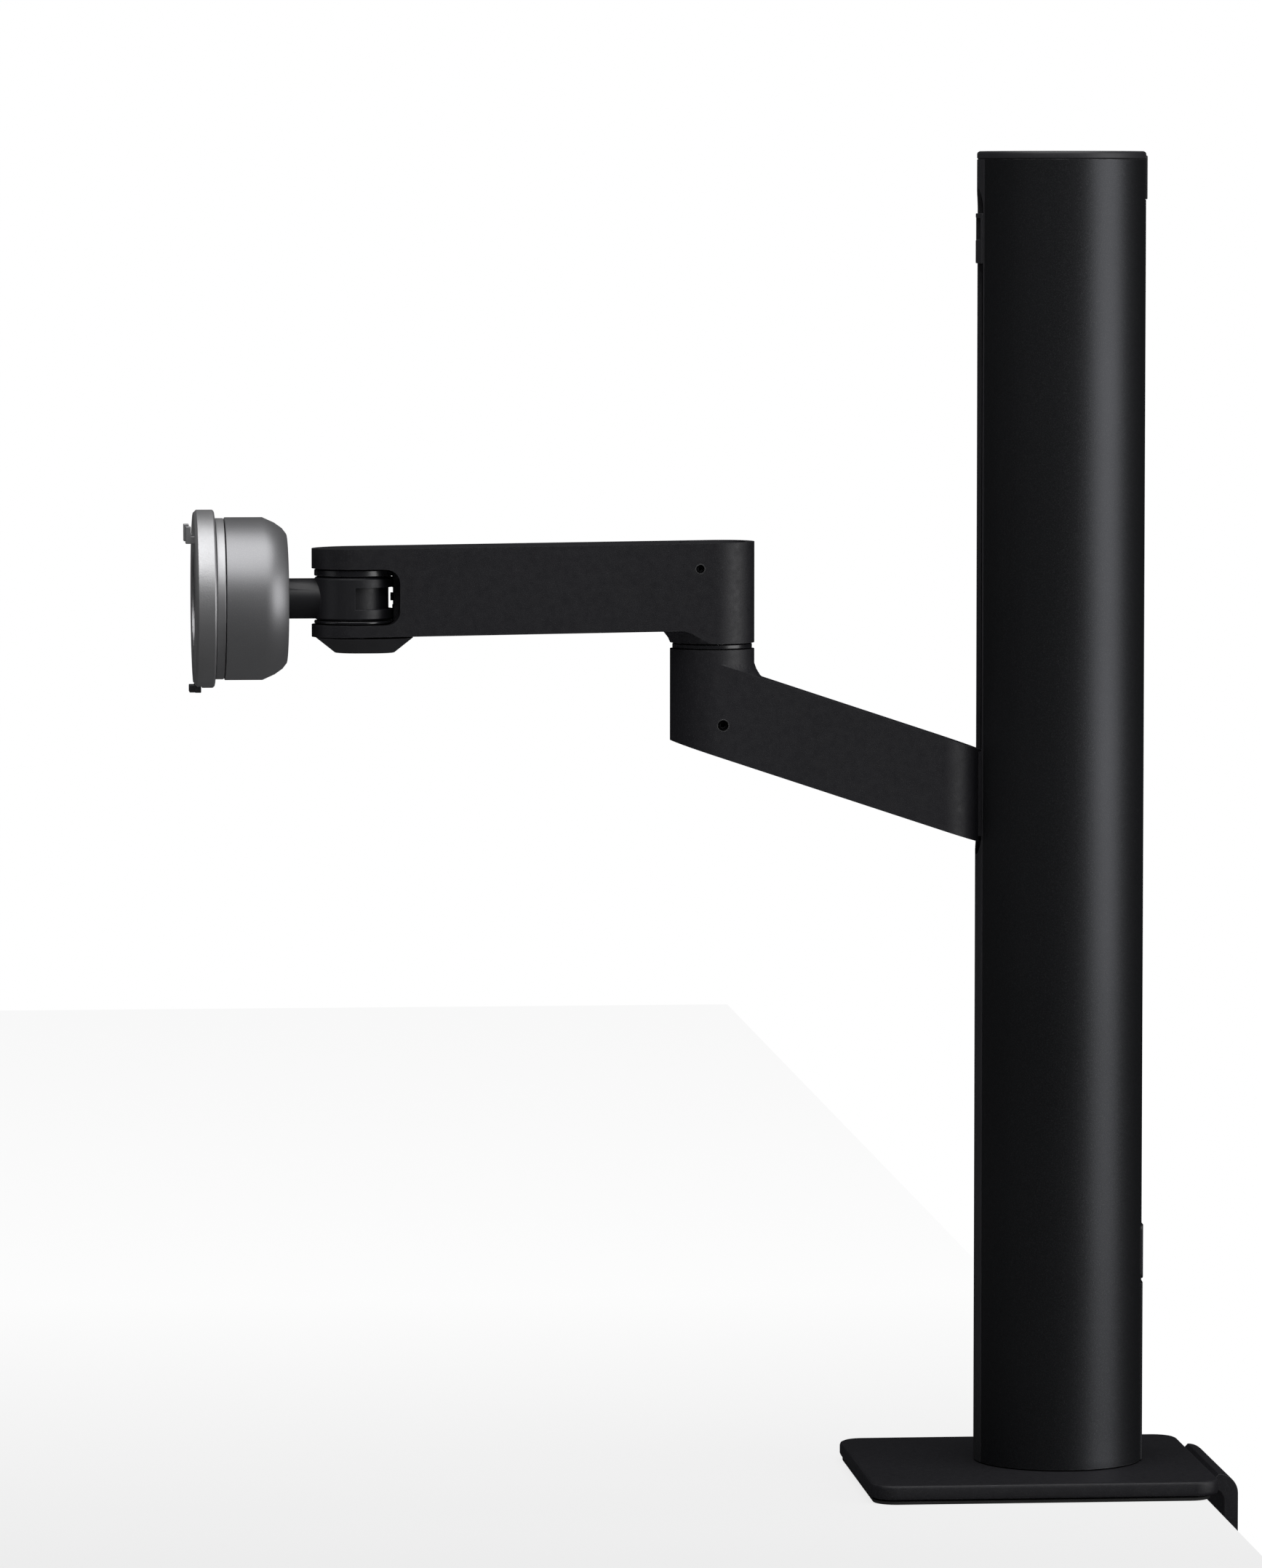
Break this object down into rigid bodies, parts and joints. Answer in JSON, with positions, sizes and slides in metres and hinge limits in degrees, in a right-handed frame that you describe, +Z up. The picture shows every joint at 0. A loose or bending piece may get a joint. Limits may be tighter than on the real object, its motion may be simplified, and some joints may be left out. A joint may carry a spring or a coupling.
{
  "type": "monitor arm",
  "caption": "Desk-clamped monitor arm: a swivelling column with a sliding carriage, a folding two-link arm, and a head that swivels, tilts and pivots.",
  "frame": {"origin": "on the desk top, at the foot of the column's axis, on the underside of the base's rubber pad", "axes": "+Z up along the column; +X towards the desk's edge and the clamp, so the arm reaches along -X at rest; +Y to the arm's right as seen from behind the screen"},
  "size_m": [0.3715, 0.113, 0.607],
  "materials": {
    "powder_coat": "fine-textured satin powder coat, near black",
    "anodised": "bead-blasted dark anodising, near black",
    "trim_plastic": "matt dark grey moulding",
    "gloss_plastic": "glossy black moulding",
    "satin_grey": "satin metallic grey",
    "steel": "plain zinc-bright steel",
    "cast": "as-cast, shot-blasted",
    "rubber": "matt black rubber",
    "bearing_plastic": "natural acetal"
  },
  "bodies": {
    "base": {"desk_pad": "rubber", "base_plate": "powder_coat", "clamp_bracket": "powder_coat", "bracket_screw_1": "steel", "bracket_screw_2": "steel", "swivel_spigot": "cast", "spigot_screw_1": "steel", "spigot_screw_2": "steel", "thrust_ring": "bearing_plastic", "swivel_bushing": "bearing_plastic", "ring_nut": "steel"},
    "clamp_jaw": {"pressure_plate": "steel", "pressure_pad": "rubber"},
    "clamp_spindle": {"clamp_screw": "steel", "clamp_knob": "trim_plastic"},
    "column": {"column_hub": "cast", "column_tube": "anodised", "column_cap": "trim_plastic", "front_trim": "trim_plastic", "slot_clip": "trim_plastic", "rear_cover": "trim_plastic", "button_guide": "bearing_plastic", "rail_foot": "cast", "rail_head": "cast", "rail_1": "steel", "rail_2": "steel", "stop_buffer_1": "rubber", "stop_buffer_2": "rubber", "gas_cylinder": "anodised"},
    "button": {"cover_button": "trim_plastic", "button_spring": "steel"},
    "lift": {"gas_rod": "steel", "carriage": "cast", "carriage_bushing_1": "bearing_plastic", "carriage_bushing_2": "bearing_plastic", "arm_screw_1": "steel", "arm_screw_2": "steel", "lower_arm": "powder_coat", "elbow_shaft": "steel", "lower_set_screw": "steel", "elbow_ring": "gloss_plastic", "elbow_nut": "steel"},
    "reach": {"upper_arm": "powder_coat", "upper_set_screw": "steel", "elbow_bushing": "bearing_plastic", "elbow_cap": "powder_coat", "swivel_pin": "steel", "fork_ring_upper": "gloss_plastic", "fork_ring_lower": "gloss_plastic", "fork_cap": "trim_plastic"},
    "swivel_head": {"knuckle": "gloss_plastic"},
    "tilt_head": {"tilt_bracket": "cast", "tilt_shaft": "steel", "tilt_nut": "steel", "head_cup": "satin_grey", "pivot_retainer": "steel", "pivot_screw": "steel"},
    "turntable": {"mount_plate": "cast"},
    "latch": {"release_latch": "trim_plastic", "latch_spring": "steel"}
  },
  "joints": [
    {"name": "clamp_slide", "type": "slide", "parent": "base", "child": "clamp_jaw", "axis": [0, 0, 1], "range_m": [-0.035, 0.015]},
    {"name": "clamp_turn", "type": "hinge", "parent": "clamp_jaw", "child": "clamp_spindle", "pos_m": [0.012, 0, -0.06], "axis": [0, 0, 1], "range_deg": [-6301, 2701]},
    {"name": "column_swivel", "type": "hinge", "parent": "base", "child": "column", "pos_m": [0, 0, 0.03], "axis": [0, 0, 1], "range_deg": [-140, 140]},
    {"name": "cover_button_press", "type": "slide", "parent": "column", "child": "button", "axis": [-1, 0, 0], "range_m": [0, 0.002], "stiffness_N_per_m": 400, "springref_m": -0.004},
    {"name": "height_slide", "type": "slide", "parent": "column", "child": "lift", "axis": [0, 0, 1], "range_m": [0, 0.13]},
    {"name": "elbow_turn", "type": "hinge", "parent": "lift", "child": "reach", "pos_m": [-0.1245, 0, 0.3], "axis": [0, 0, 1], "range_deg": [-130, 130]},
    {"name": "head_swivel", "type": "hinge", "parent": "reach", "child": "swivel_head", "pos_m": [-0.2517, 0, 0.3173], "axis": [0, 0, 1], "range_deg": [-85, 85]},
    {"name": "head_tilt", "type": "hinge", "parent": "swivel_head", "child": "tilt_head", "pos_m": [-0.287, 0, 0.3173], "axis": [0, 1, 0], "range_deg": [-25, 25]},
    {"name": "screen_pivot", "type": "hinge", "parent": "tilt_head", "child": "turntable", "pos_m": [-0.305, 0, 0.3173], "axis": [1, 0, 0], "range_deg": [-90, 0]},
    {"name": "latch_press", "type": "slide", "parent": "turntable", "child": "latch", "axis": [0, 0, 1], "range_m": [0, 0.0025], "stiffness_N_per_m": 200, "springref_m": -0.005}
  ],
  "couplings": [
    {"joint": "clamp_turn", "follows": "clamp_slide", "rad_per_m": 3141.6}
  ]
}
